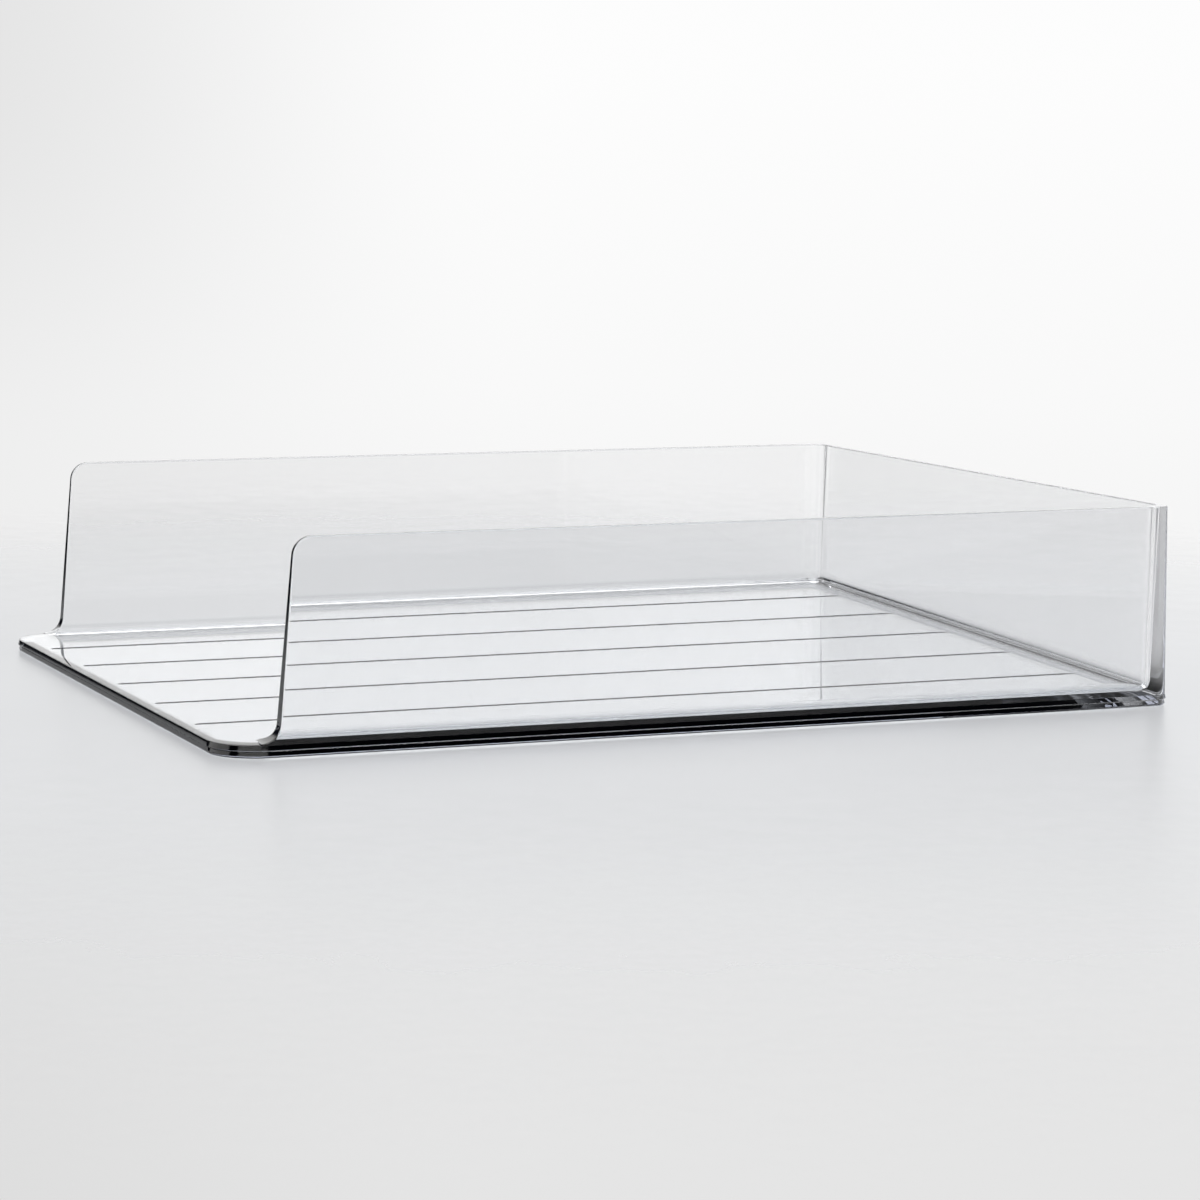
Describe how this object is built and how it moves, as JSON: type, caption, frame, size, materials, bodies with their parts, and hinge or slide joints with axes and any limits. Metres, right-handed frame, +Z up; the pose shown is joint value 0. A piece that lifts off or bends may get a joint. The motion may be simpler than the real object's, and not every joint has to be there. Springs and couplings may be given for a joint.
{
  "type": "letter tray",
  "caption": "Open-front clear desk tray with a ribbed floor, a drafted U-shaped wall, a sloped front lip and a bonded base plate on soft pads; holds letters and magazines flat.",
  "frame": {"origin": "bottom centre of the whole tray, on the desk plane under its middle", "axes": "+Z up, -Y towards the open front, +X to the right seen from the front"},
  "size_m": [0.254, 0.3174, 0.0645],
  "materials": {
    "clear_plastic": "crystal clear, polished, no tint, sharp highlights on its edges",
    "soft_pad": "soft clear elastomer, slightly cloudy, satin"
  },
  "bodies": {
    "root": {"tray_moulding": "clear_plastic", "base_plate": "clear_plastic", "pad_front_left": "soft_pad", "pad_front_right": "soft_pad", "pad_back_left": "soft_pad", "pad_back_right": "soft_pad"}
  },
  "joints": []
}
